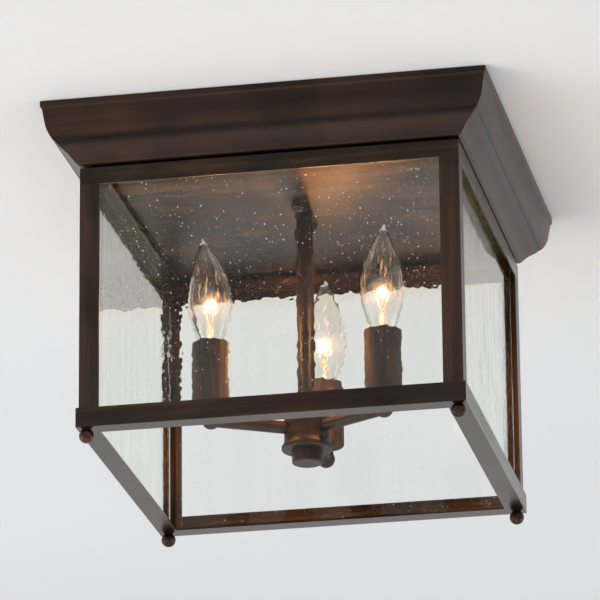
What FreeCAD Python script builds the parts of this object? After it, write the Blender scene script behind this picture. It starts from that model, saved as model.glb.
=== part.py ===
# Porch ceiling lantern: a square moulded crown, a glazed angle-iron cage with an open
# bottom, and a three-light candle cluster on a stem.
# Frame: +Z up, the ceiling is the plane z = 0, the lantern hangs below it, its front
# faces -Y and the origin lies on the stem's axis. Lengths are millimetres.
import FreeCAD, Part
import Sketcher
import math
import os

SIZES = {
    # Crown: insets run inwards from its widest edge, drops run down from the ceiling.
    "crown_width": 330.0,
    "crown_height": 43.4,
    "crown_sheet": 1.2,
    "lip_drop": 4.0,
    "bevel_inset": 1.2,
    "bevel_drop": 5.5,
    "frieze_inset": 3.0,
    "frieze_drop": 16.5,
    "ovolo_inset": 8.2,
    "ovolo_drop": 28.0,
    "ovolo_turn": 30.0,
    "fillet_inset": 9.4,
    "fillet_drop": 28.5,
    "cyma_inset": 14.6,
    "cyma_drop": 33.8,
    "cyma_turn": 24.0,
    "cove_inset": 21.9,
    "cove_drop": 42.0,
    "cove_turn": 16.0,
    "hem_inset": 24.5,
    "hem_turn": 34.0,
    "hem_width": 3.5,
    # Cage: angle rails and posts, measured over their outer faces.
    "cage_inset": 24.5,
    "angle_leg": 14.7,
    "angle_sheet": 1.5,
    "shadow_gap": 2.2,
    "top_rail_height": 12.8,
    "top_ledge_width": 15.5,
    "top_lip_inset": 7.0,
    "plate_sheet": 1.2,
    "plate_clearance": 0.5,
    "frame_overhang": 1.9,
    "frame_height": 14.6,
    "frame_ledge_width": 14.9,
    "overall_drop": 245.0,
    # Panes
    "glass_thickness": 3.0,
    "glass_setback": 4.5,
    "glass_corner_gap": 11.5,
    "glass_top_gap": 0.3,
    # Ball finials and the bosses that they screw into
    "ball_diameter": 11.0,
    "ball_neck_radius": 3.4,
    "ball_drop": 4.9,
    "stud_radius": 2.0,
    "stud_clearance": 0.05,
    "stud_length": 9.0,
    "boss_radius": 3.4,
    "boss_height": 8.0,
    "boss_inset": 4.8,
    "stud_hole_radius": 2.3,
    # Stem, nipples and nuts
    "stem_diameter": 12.7,
    "stem_wall": 1.2,
    "nipple_radius": 4.86,
    "nipple_bore_radius": 3.5,
    "nipple_clearance": 0.14,
    "stem_nipple_length": 26.0,
    "washer_radius": 9.0,
    "washer_thickness": 1.0,
    "locknut_flats": 14.0,
    "locknut_thickness": 3.5,
    # Hub
    "hub_diameter": 34.2,
    "hub_wall": 1.5,
    "hub_top_drop": 200.5,
    "hub_shoulder_radius": 2.5,
    "hub_seam_drop": 221.0,
    "cover_diameter": 38.2,
    "cover_flare_height": 5.0,
    "cover_flare_turn": 40.0,
    "cover_bottom_drop": 229.0,
    "cover_edge_radius": 1.3,
    "knob_diameter": 22.8,
    "knob_height": 10.0,
    "knob_edge_radius": 1.2,
    "knob_hole_depth": 6.5,
    "hub_nipple_top_drop": 190.0,
    # Arms and candles
    "arm_diameter": 9.5,
    "arm_wall": 1.0,
    "arm_drop": 212.5,
    "arm_start": 14.0,
    "arm_reach": 75.0,
    "arm_clearance": 0.1,
    "knuckle_diameter": 13.5,
    "knuckle_arm_seat": 2.5,
    "knuckle_neck_radius": 5.6,
    "knuckle_bore_depth": 4.5,
    "sleeve_diameter": 27.7,
    "sleeve_wall": 0.8,
    "sleeve_bottom_drop": 203.0,
    "sleeve_top_drop": 153.0,
    "sleeve_edge_radius": 2.2,
    "socket_radius": 8.6,
    "socket_bore_radius": 6.2,
    "socket_bottom_drop": 186.0,
    "socket_height": 23.0,
    "socket_base": 3.0,
    # Flame-tip bulbs: a rise is measured up from the cap's top edge, and the cap stands
    # on the socket's floor.
    "bulb_diameter": 32.8,
    "bulb_belly_rise": 40.0,
    "bulb_tip_rise": 90.0,
    "bulb_tip_radius": 0.9,
    "bulb_neck_radius": 5.4,
    "bulb_neck_rise": 1.0,
    "bulb_glass": 0.7,
    "bulb_bend": 5.6,
    "bulb_seat_depth": 4.0,
    "bulb_seat_clearance": 0.1,
    "press_radius": 2.2,
    "press_rise": 22.0,
    "cap_radius": 5.85,
    "cap_shell_height": 16.5,
    "cap_cone_height": 4.0,
    "cap_contact_height": 2.5,
    "cap_contact_radius": 2.2,
    "lead_wire_radius": 0.35,
    "lead_wire_half_spacing": 1.3,
    "filament_half_width": 4.2,
    "filament_height": 10.0,
    "filament_foot_depth": 3.0,
    "filament_foot_rise": 2.0,
    # Crossbar and its fasteners
    "bar_length": 104.0,
    "bar_width": 16.0,
    "bar_sheet": 1.6,
    "bar_offset": 6.0,
    "bar_middle_length": 61.6,
    "bar_slope_run": 1.6,
    "bar_bend_shift": 1.1,
    "box_screw_spacing": 79.4,
    "box_slot_length": 14.0,
    "box_slot_radius": 2.25,
    "bar_centre_hole_radius": 5.2,
    "ground_hole_offset": 14.0,
    "screw_spacing": 50.8,
    "screw_radius": 2.0,
    "screw_hole_radius": 2.1,
    "screw_head_radius": 4.0,
    "screw_head_height": 2.4,
    "screw_reach": 5.5,
    "cap_nut_flats": 8.7,
    "cap_nut_hex_height": 4.5,
    "cap_nut_dome_radius": 3.9,
    "cap_nut_hole_depth": 6.2,
    "ground_screw_radius": 2.4,
    "ground_screw_length": 6.0,
    "ground_head_radius": 3.9,
    "ground_head_height": 2.4,
}

# Candle places round the hub, in degrees from +X: one straight back, two to the front.
CANDLE_ANGLES = {"back": 90.0, "left": 210.0, "right": 330.0}
# Sense in which each bulb's tip leans along X, from how far it was screwed in.
TIP_SENSE = {"back": 0.3, "left": -1.0, "right": 0.35}
SIDES = ("front", "right", "back", "left")
CORNERS = ("front_right", "back_right", "back_left", "front_left")
QUARTER_TURN = 90.0
BULB_STATIONS = 9
HEX_SIDES = 6
LEAST_CUT = 0.001

doc = FreeCAD.newDocument("porch_lantern")
sheet = doc.addObject("Spreadsheet::Sheet", "Sizes")
for row, (size_name, size_value) in enumerate(SIZES.items(), start=1):
    sheet.set(f"A{row}", size_name)
    sheet.set(f"B{row}", str(size_value))
    sheet.setAlias(f"B{row}", size_name)
doc.recompute()

subparts = []


class Measure:
    """A length that knows its number and the sheet formula behind it."""

    def __init__(self, number, formula):
        self.number = number
        self.formula = formula

    def __add__(self, other):
        return join(self, "+", other, self.number + number_of(other))

    def __sub__(self, other):
        return join(self, "-", other, self.number - number_of(other))

    def __mul__(self, other):
        return join(self, "*", other, self.number * number_of(other))

    def __truediv__(self, other):
        return join(self, "/", other, self.number / number_of(other))

    def __neg__(self):
        return Measure(-self.number, f"(0 - {self.formula})")


def number_of(value):
    """The number of a Measure, or the plain number itself."""
    return value.number if isinstance(value, Measure) else float(value)


def formula_of(value):
    """The sheet formula of a Measure, or the plain number as text."""
    return value.formula if isinstance(value, Measure) else f"({value})"


def join(left, sign, right, result):
    """A Measure for a formula of two others."""
    return Measure(result, f"({formula_of(left)} {sign} {formula_of(right)})")


def size(name):
    """A driving dimension from the sheet."""
    return Measure(float(sheet.get(name)), f"Sizes.{name}")


def bind(feature, property_name, value):
    """Ties a property of a feature to its formula."""
    feature.setExpression(property_name, formula_of(value))


# Standard turns of an outline, and the middle of the lantern.
ORIGIN = Measure(0.0, "0")
QUARTER_ROUND = Measure(90.0, "90")
HALF_ROUND = Measure(180.0, "180")
FULL_TURN = 360.0

# Levels and half widths that several pieces share.
crown_half = size("crown_width") / 2
crown_bottom = -size("crown_height")
plate_bottom = crown_bottom + size("crown_sheet")
plate_top = plate_bottom + size("plate_sheet")
cage_half = crown_half - size("cage_inset")
cage_top = crown_bottom - size("shadow_gap")
window_top = cage_top - size("top_rail_height")
top_ledge_bottom = cage_top - size("angle_sheet")
top_ledge_inner = cage_half - size("top_ledge_width")
frame_half = cage_half + size("frame_overhang")
frame_bottom = -size("overall_drop")
frame_top = frame_bottom + size("frame_height")
frame_floor = frame_bottom + size("angle_sheet")
frame_ledge_inner = frame_half - size("frame_ledge_width")
boss_place = cage_half - size("boss_inset")
hub_top = -size("hub_top_drop")
hub_seam = -size("hub_seam_drop")
cover_bottom = -size("cover_bottom_drop")
arm_level = -size("arm_drop")
sleeve_bottom = -size("sleeve_bottom_drop")
sleeve_top = -size("sleeve_top_drop")
socket_bottom = -size("socket_bottom_drop")
socket_top = socket_bottom + size("socket_height")
socket_floor = socket_bottom + size("socket_base")
cap_cone_bottom = socket_floor + size("cap_contact_height")
cap_shell_bottom = cap_cone_bottom + size("cap_cone_height")
cap_top = cap_shell_bottom + size("cap_shell_height")
bulb_neck = cap_top + size("bulb_neck_rise")
press_top = cap_top + size("press_rise")
nipple_hole = size("nipple_radius") + size("nipple_clearance")
bar_middle_top = -size("bar_offset")
bar_middle_bottom = bar_middle_top - size("bar_sheet")


def new_body(name):
    """A body that becomes the sub-part of that name."""
    body = doc.addObject("PartDesign::Body", name)
    body.Label = name
    subparts.append(body)
    return body


def place(body, x=ORIGIN, y=ORIGIN, turn=0.0):
    """Turns a body about the vertical and moves it to its place in the plan."""
    rotation = FreeCAD.Rotation(FreeCAD.Vector(0, 0, 1), turn)
    body.Placement = FreeCAD.Placement(FreeCAD.Vector(x.number, y.number, 0), rotation)
    bind(body, "Placement.Base.x", x)
    bind(body, "Placement.Base.y", y)


def origin_feature(body, role):
    """One of the body's own origin planes or axes."""
    return next(item for item in body.Origin.OriginFeatures if item.Role == role)


def new_sketch(body, name, plane, offset=ORIGIN):
    """A sketch on one of the body's own planes, moved along that plane's normal."""
    sketch = body.newObject("Sketcher::SketchObject", f"{body.Name}_{name}")
    sketch.AttachmentSupport = [(origin_feature(body, plane), "")]
    sketch.MapMode = "FlatFace"
    bind(sketch, "AttachmentOffset.Base.z", offset)
    return sketch


def hold(sketch, kind, element, corner, value):
    """Holds one coordinate of a sketch point at a formula's value."""
    if value.number == 0.0:
        axis = -2 if kind == "DistanceX" else -1
        sketch.addConstraint(Sketcher.Constraint("PointOnObject", element, corner, axis))
        return
    index = sketch.addConstraint(Sketcher.Constraint(kind, -1, 1, element, corner, value.number))
    sketch.setExpression(f"Constraints[{index}]", value.formula)


def arc_between(start, end, turn):
    """The arc from start to end that turns by the given angle, positive to the left."""
    chord = end - start
    left = FreeCAD.Vector(-chord.y, chord.x, 0) / chord.Length
    bulge = chord.Length / 2 * math.tan(math.radians(turn) / 4)
    middle = (start + end) / 2 - left * bulge
    return Part.ArcOfCircle(start, middle, end)


def draw_outline(sketch, corners, closed=True):
    """Draws straight runs and arcs through the corners and holds each at its formula.

    A corner is (across, up), or (across, up, turn) where an arc of that angle leads on
    to the next corner; a positive turn bends to the left.
    """
    points = [FreeCAD.Vector(corner[0].number, corner[1].number, 0) for corner in corners]
    count = len(corners) if closed else len(corners) - 1
    ends = []
    first = sketch.GeometryCount
    for index in range(count):
        start = points[index]
        end = points[(index + 1) % len(points)]
        turn = corners[index][2] if len(corners[index]) > 2 else None
        if turn is None:
            sketch.addGeometry(Part.LineSegment(start, end))
            ends.append((1, 2))
            continue
        element = sketch.addGeometry(arc_between(start, end, turn.number))
        ends.append((1, 2) if turn.number > 0 else (2, 1))
        span = sketch.addConstraint(
            Sketcher.Constraint("Angle", element, math.radians(abs(turn.number)))
        )
        sketch.setExpression(f"Constraints[{span}]", f"abs{formula_of(turn * 1)} * 1 deg")
    for index in range(count):
        element = first + index
        hold(sketch, "DistanceX", element, ends[index][0], corners[index][0])
        hold(sketch, "DistanceY", element, ends[index][0], corners[index][1])
        if closed or index + 1 < count:
            following = first + (index + 1) % count
            joint = (element, ends[index][1], following, ends[(index + 1) % count][0])
            sketch.addConstraint(Sketcher.Constraint("Coincident", *joint))
    if not closed:
        hold(sketch, "DistanceX", first + count - 1, ends[-1][1], corners[-1][0])
        hold(sketch, "DistanceY", first + count - 1, ends[-1][1], corners[-1][1])


def draw_circle(sketch, across, up, radius):
    """Draws a circle held by its centre and radius."""
    centre = FreeCAD.Vector(across.number, up.number, 0)
    normal = FreeCAD.Vector(0, 0, 1)
    element = sketch.addGeometry(Part.Circle(centre, normal, radius.number))
    hold(sketch, "DistanceX", element, 3, across)
    hold(sketch, "DistanceY", element, 3, up)
    index = sketch.addConstraint(Sketcher.Constraint("Radius", element, radius.number))
    sketch.setExpression(f"Constraints[{index}]", radius.formula)


def draw_rectangle(sketch, left, bottom, right, top):
    """Draws an upright rectangle."""
    draw_outline(sketch, [(left, bottom), (right, bottom), (right, top), (left, top)])


def draw_hexagon(sketch, across, up, flats):
    """Draws a hexagon of the given width across its flats."""
    corner_radius = flats / math.sqrt(3.0)
    corners = []
    for step in range(HEX_SIDES):
        angle = math.radians(FULL_TURN / HEX_SIDES * step)
        corner_x = across + corner_radius * round(math.cos(angle), 6)
        corner_y = up + corner_radius * round(math.sin(angle), 6)
        corners.append((corner_x, corner_y))
    draw_outline(sketch, corners)


def pad(body, sketch, length, middle=False):
    """Adds the sketch's area, raised by a length or half of it to each side."""
    feature = body.newObject("PartDesign::Pad", f"{body.Name}_pad")
    feature.Profile = sketch
    feature.SideType = "Symmetric" if middle else "One side"
    bind(feature, "Length", length)
    return feature


def pocket(body, sketch, depth=None):
    """Cuts the sketch's area out of the body, right through or to a depth below the sketch."""
    doc.recompute()
    before = body.Shape.Volume
    feature = body.newObject("PartDesign::Pocket", f"{body.Name}_pocket")
    feature.Profile = sketch
    if depth is None:
        feature.SideType = "Symmetric"
        feature.Type = "ThroughAll"
    else:
        bind(feature, "Length", depth)
    doc.recompute()
    if before - body.Shape.Volume < LEAST_CUT:
        raise ValueError(f"{feature.Name} cuts nothing")
    return feature


def revolve(body, sketch):
    """Turns the sketch a full circle about its vertical axis."""
    feature = body.newObject("PartDesign::Revolution", f"{body.Name}_revolution")
    feature.Profile = sketch
    feature.ReferenceAxis = (sketch, ["V_Axis"])
    feature.Angle = FULL_TURN
    return feature


def turned_piece(name, corners, x=ORIGIN, y=ORIGIN):
    """A piece that is round about its own upright axis, from its half section."""
    body = new_body(name)
    sketch = new_sketch(body, "section", "XZ_Plane")
    draw_outline(sketch, corners)
    revolve(body, sketch)
    place(body, x, y)
    return body


def tube(name, outer, inner, bottom, top, x=ORIGIN, y=ORIGIN):
    """An upright round tube between two levels."""
    body = new_body(name)
    sketch = new_sketch(body, "ring", "XY_Plane", bottom)
    draw_circle(sketch, ORIGIN, ORIGIN, outer)
    draw_circle(sketch, ORIGIN, ORIGIN, inner)
    pad(body, sketch, top - bottom)
    place(body, x, y)
    return body


def candle_place(angle):
    """The plan position of a candle's axis."""
    reach = size("arm_reach")
    turn = math.radians(angle)
    x = reach * round(math.cos(turn), 9)
    y = reach * round(math.sin(turn), 9)
    return x, y


def make_crown():
    """The crown: one moulded section of sheet swept round the square with mitred corners."""
    body = new_body("crown")
    wall = size("crown_sheet")

    def outside(inset, drop, turn=None):
        return (inset - crown_half, -drop) + ((turn,) if turn else ())

    face = [
        outside(size("bevel_inset"), size("bevel_drop")),
        outside(size("frieze_inset"), size("frieze_drop"), size("ovolo_turn")),
        outside(size("ovolo_inset"), size("ovolo_drop")),
        outside(size("fillet_inset"), size("fillet_drop"), size("cyma_turn")),
        outside(size("cyma_inset"), size("cyma_drop"), -size("cove_turn")),
        outside(size("cove_inset"), size("cove_drop"), size("hem_turn")),
        outside(size("hem_inset"), size("crown_height")),
    ]
    back = [(corner[0] + wall, corner[1] + wall) for corner in face]
    turns = [corner[2] if len(corner) > 2 else None for corner in face]
    hem_end = size("hem_inset") + size("hem_width") - crown_half
    outline = [(-crown_half, ORIGIN), (-crown_half, -size("lip_drop"))]
    outline += face
    outline += [(hem_end, crown_bottom), (hem_end, crown_bottom + wall)]
    for index in range(len(face) - 1, -1, -1):
        turn = turns[index - 1] if index > 0 else None
        outline.append(back[index] + ((-turn,) if turn else ()))
    outline += [(wall - crown_half, wall - size("lip_drop")), (wall - crown_half, ORIGIN)]

    section = new_sketch(body, "section", "YZ_Plane")
    draw_outline(section, outline)
    path = new_sketch(body, "path", "XY_Plane")
    round_the_square = [
        (ORIGIN, -crown_half),
        (crown_half, -crown_half),
        (crown_half, crown_half),
        (-crown_half, crown_half),
        (-crown_half, -crown_half),
    ]
    draw_outline(path, round_the_square)
    sweep = body.newObject("PartDesign::AdditivePipe", "crown_sweep")
    sweep.Profile = section
    sweep.Spine = path
    sweep.Transition = "Right corner"
    place(body)


def make_top_plate():
    """The roof sheet inside the crown, with holes for the nipple and two screws."""
    body = new_body("top_plate")
    half = crown_half - size("hem_inset") - size("crown_sheet") - size("plate_clearance")
    sketch = new_sketch(body, "outline", "XY_Plane", plate_bottom)
    draw_rectangle(sketch, -half, -half, half, half)
    draw_circle(sketch, ORIGIN, ORIGIN, nipple_hole)
    for sense in (1, -1):
        draw_circle(sketch, ORIGIN, size("screw_spacing") / 2 * sense, size("screw_hole_radius"))
    pad(body, sketch, size("plate_sheet"))
    place(body)


def cut_mitres(body, half, depth):
    """Cuts both ends of a front rail at 45 degrees."""
    sketch = new_sketch(body, "mitres", "XY_Plane")
    for sense in (1, -1):
        outer = half * sense
        inner = (half - depth) * sense
        draw_outline(sketch, [(outer, -half), (outer, depth - half), (inner, depth - half)])
    pocket(body, sketch)


def make_top_rail(side, turn):
    """A top rail: an angle with a lip standing on its ledge, which meets the roof sheet."""
    body = new_body(f"top_rail_{side}")
    sheet_metal = size("angle_sheet")
    section = new_sketch(body, "section", "YZ_Plane")
    lip = size("top_lip_inset") - cage_half
    corners = [
        (-cage_half, window_top),
        (sheet_metal - cage_half, window_top),
        (sheet_metal - cage_half, top_ledge_bottom),
        (-top_ledge_inner, top_ledge_bottom),
        (-top_ledge_inner, cage_top),
        (lip + sheet_metal, cage_top),
        (lip + sheet_metal, plate_bottom),
        (lip, plate_bottom),
        (lip, cage_top),
        (-cage_half, cage_top),
    ]
    draw_outline(section, corners)
    pad(body, section, cage_half * 2, middle=True)
    cut_mitres(body, cage_half, size("top_ledge_width"))
    place(body, turn=turn)


def make_bottom_rail(side, turn):
    """A bottom rail: an angle whose ledge carries a pane, bored at its mitres for the studs."""
    body = new_body(f"bottom_rail_{side}")
    sheet_metal = size("angle_sheet")
    section = new_sketch(body, "section", "YZ_Plane")
    corners = [
        (-frame_half, frame_bottom),
        (-frame_ledge_inner, frame_bottom),
        (-frame_ledge_inner, frame_floor),
        (sheet_metal - frame_half, frame_floor),
        (sheet_metal - frame_half, frame_top),
        (-frame_half, frame_top),
    ]
    draw_outline(section, corners)
    pad(body, section, frame_half * 2, middle=True)
    cut_mitres(body, frame_half, size("frame_ledge_width"))
    holes = new_sketch(body, "stud_holes", "XY_Plane")
    for sense in (1, -1):
        draw_circle(holes, boss_place * sense, -boss_place, size("stud_hole_radius"))
    pocket(body, holes)
    place(body, turn=turn)


def make_post(corner, turn):
    """A corner post: an angle with a threaded boss in its foot for the ball finial."""
    body = new_body(f"post_{corner}")
    sheet_metal = size("angle_sheet")
    leg_end = cage_half - size("angle_leg")
    inner = cage_half - sheet_metal
    section = new_sketch(body, "section", "XY_Plane", frame_floor)
    corners = [
        (cage_half, -cage_half),
        (cage_half, -leg_end),
        (inner, -leg_end),
        (inner, -inner),
        (leg_end, -inner),
        (leg_end, -cage_half),
    ]
    draw_outline(section, corners)
    pad(body, section, window_top - frame_floor)
    boss = new_sketch(body, "boss", "XY_Plane", frame_floor)
    draw_circle(boss, boss_place, -boss_place, size("boss_radius"))
    pad(body, boss, size("boss_height"))
    thread = new_sketch(body, "thread", "XY_Plane", frame_floor)
    draw_circle(thread, boss_place, -boss_place, size("stud_radius") + size("stud_clearance"))
    pocket(body, thread)
    place(body, turn=turn)


def make_pane(side, turn):
    """A glass pane that stands on its ledge and stops short of the corners."""
    body = new_body(f"glass_pane_{side}")
    outer = cage_half - size("glass_setback")
    half = cage_half - size("glass_corner_gap")
    sketch = new_sketch(body, "plan", "XY_Plane", frame_floor)
    draw_rectangle(sketch, -half, -outer, half, size("glass_thickness") - outer)
    pad(body, sketch, top_ledge_bottom - size("glass_top_gap") - frame_floor)
    place(body, turn=turn)


def make_finial(corner, sense_x, sense_y):
    """A ball finial: stud, short neck and ball, screwed up through the frame's corner."""
    radius = size("ball_diameter") / 2
    centre = frame_bottom - size("ball_drop")
    neck = size("ball_neck_radius")
    neck_angle = math.degrees(math.asin(neck.number / radius.number))
    neck_foot = Measure(
        centre.number + radius.number * math.cos(math.radians(neck_angle)),
        f"({centre.formula} + sqrt(pow({radius.formula}; 2) - pow({neck.formula}; 2)))",
    )
    sweep = Measure(neck_angle - 180.0, f"(asin({neck.formula} / {radius.formula}) / 1 deg - 180)")
    stud_top = frame_bottom + size("stud_length")
    corners = [
        (ORIGIN, stud_top),
        (size("stud_radius"), stud_top),
        (size("stud_radius"), frame_bottom),
        (neck, frame_bottom),
        (neck, neck_foot, sweep),
        (ORIGIN, centre - radius),
    ]
    turned_piece(f"ball_finial_{corner}", corners, boss_place * sense_x, boss_place * sense_y)


def make_stem():
    """The stem tube from the roof sheet down to the hub."""
    outer = size("stem_diameter") / 2
    tube("stem", outer, outer - size("stem_wall"), hub_top, plate_bottom)


def make_stem_fixing():
    """Nipple, lock washer and locknut that hold the stem to the roof sheet."""
    washer_top = plate_top + size("washer_thickness")
    nut_top = washer_top + size("locknut_thickness")
    nipple_top = nut_top + size("washer_thickness")
    nipple_bottom = nipple_top - size("stem_nipple_length")
    tube("stem_nipple", size("nipple_radius"), size("nipple_bore_radius"), nipple_bottom, nipple_top)
    tube("lock_washer", size("washer_radius"), nipple_hole, plate_top, washer_top)
    body = new_body("stem_locknut")
    sketch = new_sketch(body, "hexagon", "XY_Plane", washer_top)
    draw_hexagon(sketch, ORIGIN, ORIGIN, size("locknut_flats"))
    draw_circle(sketch, ORIGIN, ORIGIN, nipple_hole)
    pad(body, sketch, size("locknut_thickness"))
    place(body)


def make_hub_body():
    """The hub: a cup turned upside down, bored for the stem's nipple and three arms."""
    outer = size("hub_diameter") / 2
    inner = outer - size("hub_wall")
    shoulder = size("hub_shoulder_radius")
    ceiling = hub_top - size("hub_wall")
    body = new_body("hub_body")
    sketch = new_sketch(body, "section", "XZ_Plane")
    corners = [
        (nipple_hole, ceiling),
        (inner, ceiling),
        (inner, hub_seam),
        (outer, hub_seam),
        (outer, hub_top - shoulder, QUARTER_ROUND),
        (outer - shoulder, hub_top),
        (nipple_hole, hub_top),
    ]
    draw_outline(sketch, corners)
    revolve(body, sketch)
    holes = new_sketch(body, "arm_hole", "XZ_Plane", outer)
    draw_circle(holes, ORIGIN, arm_level, size("arm_diameter") / 2 + size("arm_clearance"))
    cut = pocket(body, holes, outer - size("arm_start"))
    pattern = body.newObject("PartDesign::PolarPattern", "hub_arm_holes")
    pattern.Originals = [cut]
    pattern.Axis = (origin_feature(body, "Z_Axis"), [""])
    pattern.Angle = FULL_TURN
    pattern.Occurrences = len(CANDLE_ANGLES)
    body.Tip = pattern
    place(body, turn=180.0)


def make_hub_cover():
    """The hub's cover: a flaring rim, a rounded edge and a flat underside."""
    hub_outer = size("hub_diameter") / 2
    outer = size("cover_diameter") / 2
    edge = size("cover_edge_radius")
    wall = size("hub_wall")
    floor = cover_bottom + wall
    flare_bottom = hub_seam - size("cover_flare_height")
    corners = [
        (nipple_hole, cover_bottom),
        (outer - edge, cover_bottom, QUARTER_ROUND),
        (outer, cover_bottom + edge),
        (outer, flare_bottom, -size("cover_flare_turn")),
        (hub_outer, hub_seam),
        (hub_outer - wall, hub_seam),
        (hub_outer - wall, floor),
        (nipple_hole, floor),
    ]
    turned_piece("hub_cover", corners)


def make_hub_knob():
    """The knob under the hub, screwed on the long nipple that holds the hub together."""
    outer = size("knob_diameter") / 2
    edge = size("knob_edge_radius")
    bottom = cover_bottom - size("knob_height")
    hole_top = cover_bottom - size("knob_hole_depth")
    corners = [
        (ORIGIN, bottom),
        (outer - edge, bottom, QUARTER_ROUND),
        (outer, bottom + edge),
        (outer, cover_bottom),
        (nipple_hole, cover_bottom),
        (nipple_hole, hole_top),
        (ORIGIN, hole_top),
    ]
    turned_piece("hub_knob", corners)
    nipple_top = -size("hub_nipple_top_drop")
    tube("hub_nipple", size("nipple_radius"), size("nipple_bore_radius"), hole_top, nipple_top)


def make_arm(side, angle):
    """A horizontal arm tube from inside the hub to its knuckle."""
    body = new_body(f"arm_{side}")
    sketch = new_sketch(body, "ring", "YZ_Plane", size("arm_start"))
    outer = size("arm_diameter") / 2
    draw_circle(sketch, ORIGIN, arm_level, outer)
    draw_circle(sketch, ORIGIN, arm_level, outer - size("arm_wall"))
    pad(body, sketch, size("arm_reach") - size("knuckle_arm_seat") - size("arm_start"))
    place(body, turn=angle)


def make_knuckle(side, angle):
    """A ball knuckle with a neck that the candle stands on, bored for arm and riser."""
    body = new_body(f"knuckle_{side}")
    radius = size("knuckle_diameter") / 2
    neck = size("knuckle_neck_radius")
    neck_angle = math.degrees(math.asin(neck.number / radius.number))
    neck_foot = Measure(
        arm_level.number + radius.number * math.cos(math.radians(neck_angle)),
        f"({arm_level.formula} + sqrt(pow({radius.formula}; 2) - pow({neck.formula}; 2)))",
    )
    sweep = Measure(180.0 - neck_angle, f"(180 - asin({neck.formula} / {radius.formula}) / 1 deg)")
    bore_bottom = sleeve_bottom - size("knuckle_bore_depth")
    sketch = new_sketch(body, "section", "XZ_Plane")
    corners = [
        (ORIGIN, arm_level - radius, sweep),
        (neck, neck_foot),
        (neck, sleeve_bottom),
        (nipple_hole, sleeve_bottom),
        (nipple_hole, bore_bottom),
        (ORIGIN, bore_bottom),
    ]
    draw_outline(sketch, corners)
    revolve(body, sketch)
    seat = new_sketch(body, "arm_seat", "YZ_Plane", -size("knuckle_arm_seat"))
    draw_circle(seat, ORIGIN, arm_level, size("arm_diameter") / 2 + size("arm_clearance"))
    pocket(body, seat, radius)
    x, y = candle_place(angle)
    place(body, x, y, turn=angle)


def make_riser(side, angle):
    """The threaded riser that runs from the knuckle through the sleeve to the socket."""
    x, y = candle_place(angle)
    bottom = sleeve_bottom - size("knuckle_bore_depth")
    radius = size("nipple_radius")
    tube(f"riser_{side}", radius, size("nipple_bore_radius"), bottom, socket_bottom, x, y)


def make_sleeve(side, angle):
    """A candle sleeve: a drawn metal cup with a rounded foot, open at the top."""
    x, y = candle_place(angle)
    outer = size("sleeve_diameter") / 2
    wall = size("sleeve_wall")
    edge = size("sleeve_edge_radius")
    inner_edge = edge - wall
    corners = [
        (nipple_hole, sleeve_bottom),
        (outer - edge, sleeve_bottom, QUARTER_ROUND),
        (outer, sleeve_bottom + edge),
        (outer, sleeve_top),
        (outer - wall, sleeve_top),
        (outer - wall, sleeve_bottom + edge, -QUARTER_ROUND),
        (outer - wall - inner_edge, sleeve_bottom + wall),
        (nipple_hole, sleeve_bottom + wall),
    ]
    turned_piece(f"candle_sleeve_{side}", corners, x, y)


def make_socket(side, angle):
    """A candelabra socket: a round cup that the bulb's cap goes down into."""
    x, y = candle_place(angle)
    corners = [
        (ORIGIN, socket_bottom),
        (size("socket_radius"), socket_bottom),
        (size("socket_radius"), socket_top),
        (size("socket_bore_radius"), socket_top),
        (size("socket_bore_radius"), socket_floor),
        (ORIGIN, socket_floor),
    ]
    turned_piece(f"socket_{side}", corners, x, y)


def make_bulb_cap(side, angle):
    """A bulb's screw cap: shell, insulator cone and centre contact on the socket's floor."""
    x, y = candle_place(angle)
    seat = size("bulb_neck_radius") + size("bulb_seat_clearance")
    seat_floor = cap_top - size("bulb_seat_depth")
    corners = [
        (ORIGIN, socket_floor),
        (size("cap_contact_radius"), socket_floor),
        (size("cap_contact_radius"), cap_cone_bottom),
        (size("cap_radius"), cap_shell_bottom),
        (size("cap_radius"), cap_top),
        (seat, cap_top),
        (seat, seat_floor),
        (ORIGIN, seat_floor),
    ]
    turned_piece(f"bulb_cap_{side}", corners, x, y)


def flame_rings(lean, wall):
    """Rings of the flame form: quarter cosines from the belly to the neck and to the tip.

    The centres lean sideways with the square of the height above the belly.
    """
    belly = (cap_top + size("bulb_belly_rise")).number
    neck = bulb_neck.number
    tip = (cap_top + size("bulb_tip_rise")).number
    belly_radius = size("bulb_diameter").number / 2
    neck_radius = size("bulb_neck_radius").number
    tip_radius = size("bulb_tip_radius").number
    rings = [((cap_top - size("bulb_seat_depth")).number, neck_radius)]
    for step in range(BULB_STATIONS):
        share = 1.0 - step / BULB_STATIONS
        swell = (belly_radius - neck_radius) * math.cos(math.pi / 2 * share)
        rings.append((belly + (neck - belly) * share, neck_radius + swell))
    for step in range(BULB_STATIONS + 1):
        share = step / BULB_STATIONS
        swell = (belly_radius - tip_radius) * math.cos(math.pi / 2 * share)
        rings.append((belly + (tip - belly) * share, tip_radius + swell))
    wires = []
    for level, radius in rings:
        share = max(0.0, (level - belly) / (tip - belly))
        centre = FreeCAD.Vector(lean * share * share, 0, level)
        ring = Part.Circle(centre, FreeCAD.Vector(0, 0, 1), radius - wall)
        wires.append(Part.Wire(ring.toShape()))
    return wires


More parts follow.
